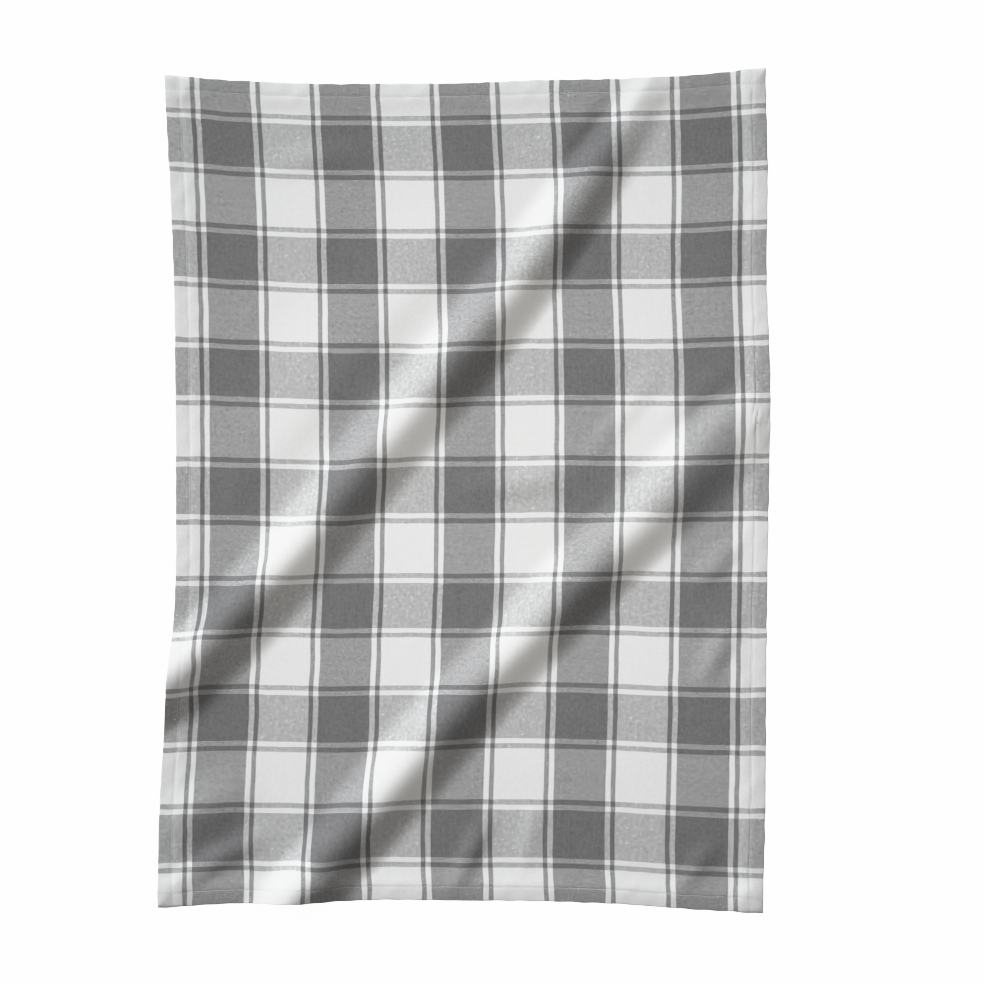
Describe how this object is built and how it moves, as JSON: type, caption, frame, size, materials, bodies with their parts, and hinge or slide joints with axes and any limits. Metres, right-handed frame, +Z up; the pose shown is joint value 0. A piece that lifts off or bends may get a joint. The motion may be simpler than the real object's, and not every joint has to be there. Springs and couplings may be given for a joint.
{
  "type": "tea towel",
  "caption": "Checked cotton tea towel with turned hems on all sides, lying flat and open with soft slanting folds across it.",
  "frame": {"origin": "under the middle of the towel's box, on the surface that it lies on", "axes": "+X across the width, +Y along the length towards the top hem, +Z up out of the surface"},
  "size_m": [0.5106, 0.703, 0.0149],
  "materials": {
    "checked_cotton": "matt plain-woven cotton, white with grey check bands and thin lines"
  },
  "bodies": {
    "root": {"towel": "checked_cotton"}
  },
  "joints": []
}
